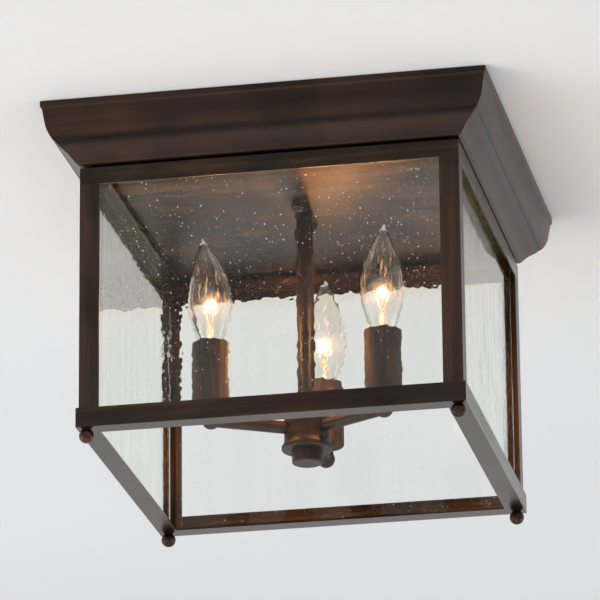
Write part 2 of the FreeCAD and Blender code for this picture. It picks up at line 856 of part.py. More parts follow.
def make_bulb_glass(side, angle):
    """A bulb's clear envelope and the glass press inside it that holds the lead wires."""
    x, y = candle_place(angle)
    lean = size("bulb_bend").number * TIP_SENSE[side]
    wall = size("bulb_glass").number
    envelope = Part.makeLoft(flame_rings(lean, 0.0), True)
    hollow = Part.makeLoft(flame_rings(lean, wall)[1:-1], True)
    foot = bulb_neck.number
    top = press_top.number
    press = Part.makeCylinder(size("press_radius").number, top - foot, FreeCAD.Vector(0, 0, foot))
    glass = envelope.cut(hollow).fuse(press)
    depth = size("filament_foot_depth").number
    for sense in (1, -1):
        wire_x = size("lead_wire_half_spacing").number * sense
        wire_foot = FreeCAD.Vector(wire_x, 0, top - depth)
        wire_hole = size("lead_wire_radius") + size("bulb_seat_clearance")
        glass = glass.cut(Part.makeCylinder(wire_hole.number, depth, wire_foot))
    item = doc.addObject("Part::Feature", f"bulb_glass_{side}")
    item.Label = f"bulb_glass_{side}"
    item.Shape = glass.Solids[0]
    item.Placement = FreeCAD.Placement(FreeCAD.Vector(x.number, y.number, 0), FreeCAD.Rotation())
    subparts.append(item)


def make_filament(side, angle):
    """Lead wires and filament: one wire that rises from the press and arches over."""
    x, y = candle_place(angle)
    body = new_body(f"filament_{side}")
    foot = press_top - size("filament_foot_depth")
    spread = press_top + size("filament_foot_rise")
    shoulder = press_top + size("filament_height")
    inner = size("lead_wire_half_spacing")
    outer = size("filament_half_width")
    section = new_sketch(body, "section", "XY_Plane", foot)
    draw_circle(section, -inner, ORIGIN, size("lead_wire_radius"))
    path = new_sketch(body, "path", "XZ_Plane")
    corners = [
        (-inner, foot),
        (-inner, spread),
        (-outer, shoulder, -HALF_ROUND),
        (outer, shoulder),
        (inner, spread),
        (inner, foot),
    ]
    draw_outline(path, corners, closed=False)
    sweep = body.newObject("PartDesign::AdditivePipe", f"{body.Name}_sweep")
    sweep.Profile = section
    sweep.Spine = path
    sweep.Transition = "Round corner"
    place(body, x, y)


def make_crossbar():
    """The crossbar: a bent strap, slotted for the junction box and bored for the screws."""
    body = new_body("crossbar")
    strap = size("bar_sheet")
    end = size("bar_length") / 2
    bend = size("bar_middle_length") / 2
    slope_end = bend + size("bar_slope_run")
    shift = size("bar_bend_shift")
    half_section = [
        (bend, bar_middle_bottom),
        (slope_end, -strap),
        (end, -strap),
        (end, ORIGIN),
        (slope_end - shift, ORIGIN),
        (bend - shift, bar_middle_top),
    ]
    mirrored = [(-across, up) for across, up in reversed(half_section)]
    section = new_sketch(body, "section", "YZ_Plane")
    draw_outline(section, half_section + mirrored)
    pad(body, section, size("bar_width"), middle=True)
    holes = new_sketch(body, "holes", "XY_Plane")
    draw_circle(holes, ORIGIN, ORIGIN, size("bar_centre_hole_radius"))
    draw_circle(holes, ORIGIN, size("ground_hole_offset"), size("ground_screw_radius"))
    for sense in (1, -1):
        draw_circle(holes, ORIGIN, size("screw_spacing") / 2 * sense, size("screw_hole_radius"))
        radius = size("box_slot_radius")
        centre = size("box_screw_spacing") / 2 * sense
        run = size("box_slot_length") / 2 - radius
        slot = [
            (radius, centre - run),
            (radius, centre + run, HALF_ROUND),
            (-radius, centre + run),
            (-radius, centre - run, HALF_ROUND),
        ]
        draw_outline(holes, slot)
    pocket(body, holes)
    place(body)


def make_mounting(end, sense):
    """A mounting screw through crossbar and roof sheet, and the cap nut that closes it."""
    y = size("screw_spacing") / 2 * sense
    radius = size("screw_radius")
    head = size("screw_head_radius")
    head_top = bar_middle_top + size("screw_head_height")
    foot = plate_bottom - size("screw_reach")
    corners = [
        (ORIGIN, foot),
        (radius, foot),
        (radius, bar_middle_top),
        (head, bar_middle_top),
        (head, head_top),
        (ORIGIN, head_top),
    ]
    turned_piece(f"mounting_screw_{end}", corners, ORIGIN, y)

    body = new_body(f"cap_nut_{end}")
    hex_bottom = plate_bottom - size("cap_nut_hex_height")
    hexagon = new_sketch(body, "hexagon", "XY_Plane", hex_bottom)
    draw_hexagon(hexagon, ORIGIN, ORIGIN, size("cap_nut_flats"))
    pad(body, hexagon, size("cap_nut_hex_height"))
    dome_radius = size("cap_nut_dome_radius")
    dome = new_sketch(body, "dome", "XZ_Plane")
    quarter_round = [
        (ORIGIN, hex_bottom - dome_radius, QUARTER_ROUND),
        (dome_radius, hex_bottom),
        (ORIGIN, hex_bottom),
    ]
    draw_outline(dome, quarter_round)
    revolve(body, dome)
    thread = new_sketch(body, "thread", "XY_Plane", plate_bottom)
    draw_circle(thread, ORIGIN, ORIGIN, size("screw_hole_radius"))
    pocket(body, thread, size("cap_nut_hole_depth"))
    place(body, ORIGIN, y)


def make_ground_screw():
    """The ground screw, driven up into the crossbar from below."""
    radius = size("ground_screw_radius")
    head = size("ground_head_radius")
    top = bar_middle_bottom + size("ground_screw_length")
    head_bottom = bar_middle_bottom - size("ground_head_height")
    corners = [
        (ORIGIN, head_bottom),
        (head, head_bottom),
        (head, bar_middle_bottom),
        (radius, bar_middle_bottom),
        (radius, top),
        (ORIGIN, top),
    ]
    turned_piece("ground_screw", corners, ORIGIN, size("ground_hole_offset"))


def check_and_write():
    """Stops on any failed object, then writes each sub-part to its own file."""
    doc.recompute()
    for item in doc.Objects:
        if "Invalid" in item.State or "Error" in item.State:
            raise ValueError(f"{item.Name} failed: {item.State}")
    os.makedirs("parts", exist_ok=True)
    for item in subparts:
        if item.Shape.isNull() or not item.Shape.isValid():
            raise ValueError(f"{item.Label} has no valid shape")
        item.Shape.exportStep(f"parts/{item.Label}.step")
    print(len(subparts), "sub-parts written")


make_crown()
make_top_plate()
for index, side in enumerate(SIDES):
    make_top_rail(side, index * QUARTER_TURN)
    make_bottom_rail(side, index * QUARTER_TURN)
    make_pane(side, index * QUARTER_TURN)
for index, corner in enumerate(CORNERS):
    make_post(corner, index * QUARTER_TURN)
    make_finial(corner, 1 if "right" in corner else -1, 1 if "back" in corner else -1)
make_stem()
make_stem_fixing()
make_hub_body()
make_hub_cover()
make_hub_knob()
for side, angle in CANDLE_ANGLES.items():
    make_arm(side, angle)
    make_knuckle(side, angle)
    make_riser(side, angle)
    make_sleeve(side, angle)
    make_socket(side, angle)
    make_bulb_cap(side, angle)
    make_bulb_glass(side, angle)
    make_filament(side, angle)
make_crossbar()
for end, sense in (("back", 1), ("front", -1)):
    make_mounting(end, sense)
make_ground_screw()
check_and_write()
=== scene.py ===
import math

import bpy
from mathutils import Matrix, Vector


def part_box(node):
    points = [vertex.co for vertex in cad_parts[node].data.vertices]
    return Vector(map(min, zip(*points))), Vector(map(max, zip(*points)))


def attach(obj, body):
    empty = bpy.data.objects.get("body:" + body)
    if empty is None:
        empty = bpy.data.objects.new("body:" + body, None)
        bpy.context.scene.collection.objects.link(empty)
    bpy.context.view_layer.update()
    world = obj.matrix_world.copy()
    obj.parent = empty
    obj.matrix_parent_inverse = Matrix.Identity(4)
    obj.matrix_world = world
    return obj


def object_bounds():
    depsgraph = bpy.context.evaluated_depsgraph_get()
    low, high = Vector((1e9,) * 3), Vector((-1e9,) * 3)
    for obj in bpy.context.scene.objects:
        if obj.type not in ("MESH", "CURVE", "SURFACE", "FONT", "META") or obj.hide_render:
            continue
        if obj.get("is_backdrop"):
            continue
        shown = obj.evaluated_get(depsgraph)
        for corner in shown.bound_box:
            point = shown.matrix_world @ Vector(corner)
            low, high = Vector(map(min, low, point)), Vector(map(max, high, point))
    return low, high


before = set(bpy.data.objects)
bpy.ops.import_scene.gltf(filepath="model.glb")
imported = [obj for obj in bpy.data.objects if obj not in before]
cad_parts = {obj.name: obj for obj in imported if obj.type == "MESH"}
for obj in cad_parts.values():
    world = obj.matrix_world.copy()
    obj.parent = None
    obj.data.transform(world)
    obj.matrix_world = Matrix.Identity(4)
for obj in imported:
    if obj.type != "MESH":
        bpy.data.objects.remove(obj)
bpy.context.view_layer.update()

MM = 0.001
LANTERN = "lantern"
CANDLES = ("back", "left", "right")
# Each pane, and whether its width runs along X.
SIDES = {"front": True, "right": False, "back": True, "left": False}
# How bright the painted glow and the painted filament images on the bulbs' glass are, and how
# brightly the filaments glow.
BULB_PAINTED_GLOW = 0.12
PAINTED_IMAGE_GLOW = 0.85
GLOW = 8.0
# Where the patina's clouds start, chosen so that the crown's front is lighter at its left:
# painted light falling from the left.
CLOUD_SHIFT_FOR_PAINTED_LIGHT = 245.0 * MM
# The share of a glass surface's straight-on reflection that is kept.
PANE_REFLECTION = (0.25, 0.25, 0.25, 1.0)
BULB_REFLECTION = (0.8, 0.8, 0.8, 1.0)
# How brightly an air seed glows with painted light, and how many a square metre of pane holds.
SEED_PAINTED_GLOW = 0.14
SEEDS_PER_M2 = 42000.0
# The thread of a candelabra screw cap: pitch, radius, length, ridge and start in mm.
CAP_PITCH = 2.54
CAP_THREAD_RADIUS = 5.72
CAP_THREAD_LENGTH = 13.0
CAP_THREAD_RIDGE = 0.34
CAP_THREAD_START = 4.6
# Threaded rods: radius (0 takes the rod's own), pitch and bare length at each end in mm.
RODS = {"stem_nipple": (4.70, 0.94, 0.6), "mounting_screw_back": (0.0, 0.79, 0.8),
        "mounting_screw_front": (0.0, 0.79, 0.8)}
# A rod's ridge, and how far its middle lies under the rod's own surface, in mm.
ROD_RIDGE = 0.2
ROD_RIDGE_SUNK = 0.12
# The bare border of a pane, both sides together, that holds no seeds.
BARE_BORDER = 3.0 * MM
# The ceiling: its width, the hole for the junction box and its height, in metres.
CEILING_WIDTH = 24.0
CEILING_HOLE = 0.29
CEILING_HEIGHT = 0.0004
# How bright the sky is where it is seen, and where it gives light.
SKY_SEEN = 0.86
SKY_LIGHT = 0.68


# ---------------------------------------------------------------- small tools

def linear(code, alpha=1.0):
    """An sRGB hex colour as the linear numbers that the sockets take."""
    values = []
    for place in (1, 3, 5):
        share = int(code[place:place + 2], 16) / 255.0
        values.append(share / 12.92 if share <= 0.04045 else ((share + 0.055) / 1.055) ** 2.4)
    return (*values, alpha)


def add(tree, kind, settings=None, links=None, stops=None):
    """Adds one node, sets its properties and inputs, and links what feeds it."""
    made = tree.nodes.new(kind)
    settings = settings or {}
    for key, value in settings.items():
        if isinstance(key, str) and hasattr(made, key):
            setattr(made, key, value)
    for key, value in settings.items():
        if isinstance(key, int) or not hasattr(made, key):
            made.inputs[key].default_value = value
    for key, source in (links or {}).items():
        tree.links.new(source, made.inputs[key])
    if stops:
        band = made.color_ramp.elements
        while len(band) < len(stops):
            band.new(0.5)
        for element, (place, colour) in zip(band, stops):
            element.position = place
            element.color = colour
    return made


def new_material(name):
    """An empty node material with its output and its surface shader."""
    material = bpy.data.materials.new(name)
    material.use_nodes = True
    tree = material.node_tree
    tree.nodes.clear()
    surface = add(tree, "ShaderNodeBsdfPrincipled")
    output = add(tree, "ShaderNodeOutputMaterial", links={"Surface": surface.outputs[0]})
    coords = add(tree, "ShaderNodeTexCoord")
    return material, tree, surface, output, coords.outputs["Object"]


# ---------------------------------------------------------------- finishes

def oil_rubbed_bronze(name, deep, body, rubbed, grain_mm, metal=0.75, rough=(0.28, 0.4),
                      edge_mm=0.9, edge_share=0.6, patch_share=0.5, shaded_valley_mm=None):
    """Steel sheet plated and darkened to oil-rubbed bronze, then brushed by hand.

    To the eye: a near-black brown with soft streaks that follow the brushing, patches
    that lean to olive or to red where the patina is thicker, and lighter worn edges.
    grain_mm gives the streaks' length along X, Y and Z, and the valley argument the height of a
    moulding's valley, which is painted nearly black: painted shade in the recess, together with
    the patina that was never rubbed there.
    """
    material, tree, surface, _, coords = new_material(name)
    scale = [1000.0 / length for length in grain_mm]
    streak_space = add(tree, "ShaderNodeMapping", {"Scale": scale}, {"Vector": coords})
    streaks = add(tree, "ShaderNodeTexNoise", {"Scale": 1.0, "Detail": 3.0, "Roughness": 0.5},
                  {"Vector": streak_space.outputs[0]})
    # Patina clouds, about 60 mm across, shifted so that they paint the crown's front lighter at
    # its left.
    cloud_space = add(tree, "ShaderNodeMapping", {"Location": (CLOUD_SHIFT_FOR_PAINTED_LIGHT, 0.0, 0.0)},
                      {"Vector": coords})
    clouds = add(tree, "ShaderNodeTexNoise", {"Scale": 16.0, "Detail": 3.0, "Roughness": 0.5},
                 {"Vector": cloud_space.outputs[0]})
    joined = add(tree, "ShaderNodeMath", {"operation": "MULTIPLY_ADD", 1: 0.6},
                 {0: clouds.outputs["Fac"], 2: streaks.outputs["Fac"]})
    plain = add(tree, "ShaderNodeValToRGB", links={"Fac": joined.outputs[0]},
                stops=[(0.55, linear(deep)), (0.8, linear(body)), (1.0, linear(rubbed))])
    lean = add(tree, "ShaderNodeValToRGB", links={"Fac": clouds.outputs["Fac"]},
               stops=[(0.38, linear("#BFC29A")), (0.5, linear("#FFFFFF")),
                      (0.62, linear("#FFD2BE"))])
    tone = add(tree, "ShaderNodeMix", {"data_type": "RGBA", "blend_type": "MULTIPLY",
                                       0: patch_share},
               {6: plain.outputs[0], 7: lean.outputs[0]})
    # Wear on edges: where a rounded copy of the surface would turn away from it.
    rounded = add(tree, "ShaderNodeBevel", {"samples": 4, "Radius": edge_mm * MM})
    flat = add(tree, "ShaderNodeNewGeometry")
    turned = add(tree, "ShaderNodeVectorMath", {"operation": "DOT_PRODUCT"},
                 {0: rounded.outputs[0], 1: flat.outputs["Normal"]})
    wear = add(tree, "ShaderNodeMapRange", {"From Min": 0.985, "From Max": 0.86,
                                            "To Min": 0.0, "To Max": edge_share},
               {"Value": turned.outputs["Value"]})
    broken = add(tree, "ShaderNodeMath", {"operation": "MULTIPLY"},
                 {0: wear.outputs[0], 1: streaks.outputs["Fac"]})
    worn = add(tree, "ShaderNodeMix", {"data_type": "RGBA", 7: linear(rubbed)},
               {0: broken.outputs[0], 6: tone.outputs[2]})
    colour = worn
    if shaded_valley_mm is not None:
        # Painted shade: the moulding's valley is darkened towards near black, along with its
        # unrubbed patina.
        height = add(tree, "ShaderNodeSeparateXYZ", links={0: coords})
        off = add(tree, "ShaderNodeMath", {"operation": "SUBTRACT", 1: shaded_valley_mm * MM},
                  {0: height.outputs[2]})
        away = add(tree, "ShaderNodeMath", {"operation": "ABSOLUTE"}, {0: off.outputs[0]})
        kept = add(tree, "ShaderNodeMapRange", {"interpolation_type": "SMOOTHSTEP",
                                                "From Min": 0.5 * MM, "From Max": 4.0 * MM,
                                                "To Min": 0.75, "To Max": 0.0},
                   {"Value": away.outputs[0]})
        colour = add(tree, "ShaderNodeMix", {"data_type": "RGBA", 7: linear("#100B09")},
                     {0: kept.outputs[0], 6: worn.outputs[2]})
    tree.links.new(colour.outputs[2], surface.inputs["Base Color"])
    gloss = add(tree, "ShaderNodeMapRange", {"From Min": 0.3, "From Max": 0.7,
                                             "To Min": rough[0], "To Max": rough[1]},
                {"Value": streaks.outputs["Fac"]})
    tree.links.new(gloss.outputs[0], surface.inputs["Roughness"])
    # Brush lines: the real ones are about 0.1 mm apart, drawn five times coarser to show.
    fine = add(tree, "ShaderNodeMapping", {"Scale": [value * 6.0 for value in scale]},
               {"Vector": coords})
    lines = add(tree, "ShaderNodeTexNoise", {"Scale": 1.0, "Detail": 2.0},
                {"Vector": fine.outputs[0]})
    bump = add(tree, "ShaderNodeBump", {"Strength": 0.12, "Distance": 0.0003},
               {"Height": lines.outputs["Fac"]})
    tree.links.new(bump.outputs[0], surface.inputs["Normal"])
    surface.inputs["Metallic"].default_value = metal
    surface.inputs["Coat Weight"].default_value = 0.05
    surface.inputs["Coat Roughness"].default_value = 0.3
    return material


def zinc_plated_steel():
    """Turned or stamped steel with bright zinc on it.

    To the eye: a cool pale grey with fine lathe rings, a faint yellow-blue passivation
    bloom in patches, and a soft sheen.
    """
    material, tree, surface, _, coords = new_material("zinc_plated_steel")
    bloom = add(tree, "ShaderNodeTexNoise", {"Scale": 160.0, "Detail": 3.0}, {"Vector": coords})
    tone = add(tree, "ShaderNodeValToRGB", links={"Fac": bloom.outputs["Fac"]},
               stops=[(0.35, linear("#8F9294")), (0.55, linear("#A9AAA8")),
                      (0.7, linear("#B7B3A4"))])
    tree.links.new(tone.outputs[0], surface.inputs["Base Color"])
    gloss = add(tree, "ShaderNodeMapRange", {"To Min": 0.28, "To Max": 0.44},
                {"Value": bloom.outputs["Fac"]})
    tree.links.new(gloss.outputs[0], surface.inputs["Roughness"])
    space = add(tree, "ShaderNodeMapping", {"Scale": (300.0, 300.0, 2500.0)}, {"Vector": coords})
    rings = add(tree, "ShaderNodeTexNoise", {"Scale": 1.0, "Detail": 2.0},
                {"Vector": space.outputs[0]})
    bump = add(tree, "ShaderNodeBump", {"Strength": 0.1, "Distance": 0.0002},
               {"Height": rings.outputs["Fac"]})
    tree.links.new(bump.outputs[0], surface.inputs["Normal"])
    surface.inputs["Metallic"].default_value = 1.0
    return material


def green_screw_coating():
    """The dyed zinc coating that marks a ground screw.

    To the eye: a clear mid green over bright metal, thinner and paler on the edges.
    """
    material, tree, surface, _, coords = new_material("green_screw_coating")
    mottle = add(tree, "ShaderNodeTexNoise", {"Scale": 700.0, "Detail": 2.0}, {"Vector": coords})
    tone = add(tree, "ShaderNodeValToRGB", links={"Fac": mottle.outputs["Fac"]},
               stops=[(0.35, linear("#1F6B37")), (0.65, linear("#2F8A4A"))])
    tree.links.new(tone.outputs[0], surface.inputs["Base Color"])
    gloss = add(tree, "ShaderNodeMapRange", {"To Min": 0.25, "To Max": 0.42},
                {"Value": mottle.outputs["Fac"]})
    tree.links.new(gloss.outputs[0], surface.inputs["Roughness"])
    surface.inputs["Metallic"].default_value = 0.6
    return material


def drawn_brass():
    """Thin brass, drawn and rolled into a screw cap.

    To the eye: a warm yellow metal with duller brown patches in the thread's valleys.
    """
    material, tree, surface, _, coords = new_material("drawn_brass")
    tarnish = add(tree, "ShaderNodeTexNoise", {"Scale": 400.0, "Detail": 3.0}, {"Vector": coords})
    tone = add(tree, "ShaderNodeValToRGB", links={"Fac": tarnish.outputs["Fac"]},
               stops=[(0.35, linear("#9C7A3C")), (0.6, linear("#CDA75C"))])
    tree.links.new(tone.outputs[0], surface.inputs["Base Color"])
    gloss = add(tree, "ShaderNodeMapRange", {"To Min": 0.2, "To Max": 0.38},
                {"Value": tarnish.outputs["Fac"]})
    tree.links.new(gloss.outputs[0], surface.inputs["Roughness"])
    surface.inputs["Metallic"].default_value = 1.0
    return material


def moulded_phenolic():
    """Black phenolic resin, pressed in a mould.

    To the eye: a dense black with a dull skin and a slight grain of filler.
    """
    material, tree, surface, _, coords = new_material("moulded_phenolic")
    filler = add(tree, "ShaderNodeTexNoise", {"Scale": 900.0, "Detail": 3.0}, {"Vector": coords})
    tone = add(tree, "ShaderNodeValToRGB", links={"Fac": filler.outputs["Fac"]},
               stops=[(0.35, linear("#161514")), (0.7, linear("#26231F"))])
    tree.links.new(tone.outputs[0], surface.inputs["Base Color"])
    gloss = add(tree, "ShaderNodeMapRange", {"To Min": 0.42, "To Max": 0.6},
                {"Value": filler.outputs["Fac"]})
    tree.links.new(gloss.outputs[0], surface.inputs["Roughness"])
    return material


def lamps_pass(tree, surface, output, tint):
    """Lets the lamps' light through glass instead of a black shadow."""
    clear = add(tree, "ShaderNodeBsdfTransparent", {"Color": linear(tint)})
    path = add(tree, "ShaderNodeLightPath")
    both = add(tree, "ShaderNodeMixShader", links={0: path.outputs["Is Shadow Ray"],
                                                   1: surface.outputs[0], 2: clear.outputs[0]})
    tree.links.new(both.outputs[0], output.inputs["Surface"])


def seeded_sheet_glass(name, across, waviness, body_tint, line_tint, top_tint):
    """Hand-drawn soda-lime sheet, 3 mm thick, cut and left with raw edges.

    To the eye: nearly clear, with draw lines that make straight things behind it
    wander, a faint green body, and olive edges where one looks along the sheet.
    across is the axis (0 for X, 1 for Y) that runs along the pane's width. Draw lines
    show in line_tint, and the strip behind the top rails, where light comes down
    through the sheet, in top_tint.
    A soft first reflection stands for the dark room in front of the panes.
    """
    material, tree, surface, output, coords = new_material(name)
    # How squarely a face looks out of the pane: 1 on its two broad sides, 0 on its edges.
    flat = add(tree, "ShaderNodeTexCoord")
    parts = add(tree, "ShaderNodeSeparateXYZ", links={0: flat.outputs["Normal"]})
    facing = add(tree, "ShaderNodeMath", {"operation": "ABSOLUTE"},
                 {0: parts.outputs[1 - across]})
    edge = add(tree, "ShaderNodeMapRange", {"From Min": 0.75, "From Max": 0.35},
               {"Value": facing.outputs[0]})
    # Denser draw lines, about 2.5 mm apart and 150 mm long.
    dense_space = add(tree, "ShaderNodeMapping", {"Scale": (400.0, 400.0, 6.7)},
                      {"Vector": coords})
    dense = add(tree, "ShaderNodeTexNoise", {"Scale": 1.0, "Detail": 1.0},
                {"Vector": dense_space.outputs[0]})
    body = add(tree, "ShaderNodeValToRGB", links={"Fac": dense.outputs["Fac"]},
               stops=[(0.45, linear(body_tint)), (0.68, linear(line_tint))])
    _, pane_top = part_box("glass_pane_left")
    height = add(tree, "ShaderNodeSeparateXYZ", links={0: coords})
    strip = add(tree, "ShaderNodeMapRange", {"From Min": pane_top.z - 22 * MM,
                                             "From Max": pane_top.z - 10 * MM},
                {"Value": height.outputs[2]})
    topped = add(tree, "ShaderNodeMix", {"data_type": "RGBA", 7: linear(top_tint)},
                 {0: strip.outputs[0], 6: body.outputs[0]})
    tint = add(tree, "ShaderNodeMix", {"data_type": "RGBA", 7: linear("#5E6B34")},
               {0: edge.outputs[0], 6: topped.outputs[2]})
    tree.links.new(tint.outputs[2], surface.inputs["Base Color"])
    # Draw lines: about 14 mm apart across the sheet and 160 mm long down it.
    drawn = [1000.0 / 14.0, 1000.0 / 14.0, 1000.0 / 160.0]
    lines_space = add(tree, "ShaderNodeMapping", {"Scale": drawn}, {"Vector": coords})
    lines = add(tree, "ShaderNodeTexNoise", {"Scale": 1.0, "Detail": 1.0, "Roughness": 0.4},
                {"Vector": lines_space.outputs[0]})
    # Ripples left by the rollers, about 45 mm across, and orange peel, about 4 mm.
    ripples = add(tree, "ShaderNodeTexNoise", {"Scale": 22.0, "Detail": 1.0}, {"Vector": coords})
    peel = add(tree, "ShaderNodeTexNoise", {"Scale": 250.0, "Detail": 0.0}, {"Vector": coords})
    # The heights are in metres, so the bump's distance is one metre.
    high_lines = add(tree, "ShaderNodeMath", {"operation": "MULTIPLY", 1: waviness * 9e-5},
                     {0: lines.outputs["Fac"]})
    high_ripples = add(tree, "ShaderNodeMath", {"operation": "MULTIPLY_ADD",
                                                1: waviness * 2.2e-4},
                       {0: ripples.outputs["Fac"], 2: high_lines.outputs[0]})
    relief = add(tree, "ShaderNodeMath", {"operation": "MULTIPLY_ADD", 1: waviness * 4.5e-5},
                 {0: peel.outputs["Fac"], 2: high_ripples.outputs[0]})
    bump = add(tree, "ShaderNodeBump", {"Strength": 1.0, "Distance": 1.0},
               {"Height": relief.outputs[0]})
    tree.links.new(bump.outputs[0], surface.inputs["Normal"])
    surface.inputs["Transmission Weight"].default_value = 1.0
    surface.inputs["Roughness"].default_value = 0.0
    surface.inputs["IOR"].default_value = 1.5
    surface.inputs["Specular Tint"].default_value = PANE_REFLECTION
    lamps_pass(tree, surface, output, "#F4F7F3")
    return material


def air_seed():
    """A bubble of air caught in the sheet.

    To the eye: a bright or dark dot with a thin rim, by what lies behind it, and a faint painted
    glow.
    """
    material, tree, surface, output, coords = new_material("air_seed")
    cloud = add(tree, "ShaderNodeTexNoise", {"Scale": 60.0}, {"Vector": coords})
    tone = add(tree, "ShaderNodeValToRGB", links={"Fac": cloud.outputs["Fac"]},
               stops=[(0.3, linear("#E9EFEA")), (0.7, linear("#FFFFFF"))])
    tree.links.new(tone.outputs[0], surface.inputs["Base Color"])
    surface.inputs["Transmission Weight"].default_value = 1.0
    surface.inputs["Roughness"].default_value = 0.02
    surface.inputs["IOR"].default_value = 1.3
    # A painted glow that makes a seed bright against dark things behind it.
    surface.inputs["Emission Color"].default_value = linear("#FFFFFF")
    surface.inputs["Emission Strength"].default_value = SEED_PAINTED_GLOW
    lamps_pass(tree, surface, output, "#FFFFFF")
    return material


def clear_bulb_glass(side):
    """Thin blown soda-lime glass, drawn to a flame's tip while hot.

    To the eye: clear, with slow waves from the drawing that bend the highlights, and
    a warm painted glow in the glass round the filament that fades towards the tip, with
    painted images of the filament above it.
    """
    material, tree, surface, output, coords = new_material(f"clear_bulb_glass_{side}")
    surface.inputs["Transmission Weight"].default_value = 1.0
    surface.inputs["Roughness"].default_value = 0.0
    surface.inputs["IOR"].default_value = 1.5
    # Drawing waves, about 9 mm round the bulb and 40 mm along it.
    space = add(tree, "ShaderNodeMapping", {"Scale": (110.0, 110.0, 25.0)}, {"Vector": coords})
    waves = add(tree, "ShaderNodeTexNoise", {"Scale": 1.0, "Detail": 1.0},
                {"Vector": space.outputs[0]})
    bump = add(tree, "ShaderNodeBump", {"Strength": 0.25, "Distance": 0.0006},
               {"Height": waves.outputs["Fac"]})
    tree.links.new(bump.outputs[0], surface.inputs["Normal"])
    tone = add(tree, "ShaderNodeValToRGB", links={"Fac": waves.outputs["Fac"]},
               stops=[(0.3, linear("#F7F3EC")), (0.7, linear("#FFFFFF"))])
    # Painted shade: the tip, which is solid glass, is tinted a little greyer to look darker.
    _, glass_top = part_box(f"bulb_glass_{side}")
    height = add(tree, "ShaderNodeSeparateXYZ", links={0: coords})
    solid = add(tree, "ShaderNodeMapRange", {"From Min": glass_top.z - 9 * MM,
                                             "From Max": glass_top.z - 5 * MM,
                                             "To Max": 0.6},
                {"Value": height.outputs[2]})
    shaded_tip = add(tree, "ShaderNodeMix", {"data_type": "RGBA", 7: linear("#8A8682")},
                 {0: solid.outputs[0], 6: tone.outputs[0]})
    tree.links.new(shaded_tip.outputs[2], surface.inputs["Base Color"])
    # Painted glow: the glass itself emits warm light near the filament, fading away from it.
    low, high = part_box(f"filament_{side}")
    centre = (low + high) / 2
    away = add(tree, "ShaderNodeVectorMath", {"operation": "DISTANCE",
                                              1: (centre.x, centre.y, high.z - 1.5 * MM)},
               {0: coords})
    near = add(tree, "ShaderNodeMapRange", {"From Min": 0.0188, "From Max": 0.0146},
               {"Value": away.outputs["Value"]})
    painted_glow_falloff = add(tree, "ShaderNodeMath", {"operation": "POWER", 1: 3.0}, {0: near.outputs[0]})
    # Painted reflections: the filament's images in the drawn walls, as thin upright glowing lines
    # above it.
    thin = add(tree, "ShaderNodeMapping", {"Scale": (420.0, 420.0, 60.0)}, {"Vector": coords})
    images = add(tree, "ShaderNodeTexNoise", {"Scale": 1.0, "Detail": 2.0},
                 {"Vector": thin.outputs[0]})
    lines = add(tree, "ShaderNodeMapRange", {"From Min": 0.6, "From Max": 0.74},
                {"Value": images.outputs["Fac"]})
    above = add(tree, "ShaderNodeMapRange", {"From Min": high.z + 42 * MM,
                                             "From Max": high.z + 2 * MM,
                                             "To Max": PAINTED_IMAGE_GLOW},
                {"Value": height.outputs[2]})
    start = add(tree, "ShaderNodeMapRange", {"From Min": high.z - 6 * MM,
                                             "From Max": high.z + 6 * MM},
                {"Value": height.outputs[2]})
    shown = add(tree, "ShaderNodeMath", {"operation": "MULTIPLY"},
                {0: above.outputs[0], 1: start.outputs[0]})
    streaks = add(tree, "ShaderNodeMath", {"operation": "MULTIPLY"},
                  {0: shown.outputs[0], 1: lines.outputs[0]})
    bloom = add(tree, "ShaderNodeMath", {"operation": "MULTIPLY_ADD", 1: BULB_PAINTED_GLOW},
                {0: painted_glow_falloff.outputs[0], 2: streaks.outputs[0]})
    surface.inputs["Emission Color"].default_value = linear("#FFB878")
    tree.links.new(bloom.outputs[0], surface.inputs["Emission Strength"])
    surface.inputs["Specular Tint"].default_value = BULB_REFLECTION
    lamps_pass(tree, surface, output, "#FFFDF8")
    return material


def glowing_tungsten(side):
    """A coiled tungsten wire at white heat on nickel lead wires.

    To the eye: a white core with an orange edge at the top, and dull grey legs below.
    """
    material, tree, surface, _, coords = new_material(f"glowing_tungsten_{side}")
    _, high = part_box(f"filament_{side}")
    parts = add(tree, "ShaderNodeSeparateXYZ", links={0: coords})
    heat = add(tree, "ShaderNodeMapRange", {"From Min": high.z - 6.5 * MM,
                                            "From Max": high.z - 4.0 * MM,
                                            "To Min": 0.09, "To Max": 1.0},
               {"Value": parts.outputs[2]})
    coil = add(tree, "ShaderNodeTexWave", {"bands_direction": "Z", "Scale": 380.0,
                                           "Distortion": 0.6}, {"Vector": coords})
    lit = add(tree, "ShaderNodeMath", {"operation": "MULTIPLY_ADD", 1: 0.5, 2: 0.7},
              {0: coil.outputs["Fac"]})
    power = add(tree, "ShaderNodeMath", {"operation": "MULTIPLY"},
                {0: heat.outputs[0], 1: lit.outputs[0]})
    strength = add(tree, "ShaderNodeMath", {"operation": "MULTIPLY", 1: GLOW},
                   {0: power.outputs[0]})
    tree.links.new(strength.outputs[0], surface.inputs["Emission Strength"])
    surface.inputs["Emission Color"].default_value = linear("#FFC07A")
    tone = add(tree, "ShaderNodeValToRGB", links={"Fac": heat.outputs[0]},
               stops=[(0.0, linear("#8E8B86")), (1.0, linear("#D8B98A"))])
    tree.links.new(tone.outputs[0], surface.inputs["Base Color"])
    surface.inputs["Roughness"].default_value = 0.35
    surface.inputs["Metallic"].default_value = 1.0
    return material


# ---------------------------------------------------------------- making pieces

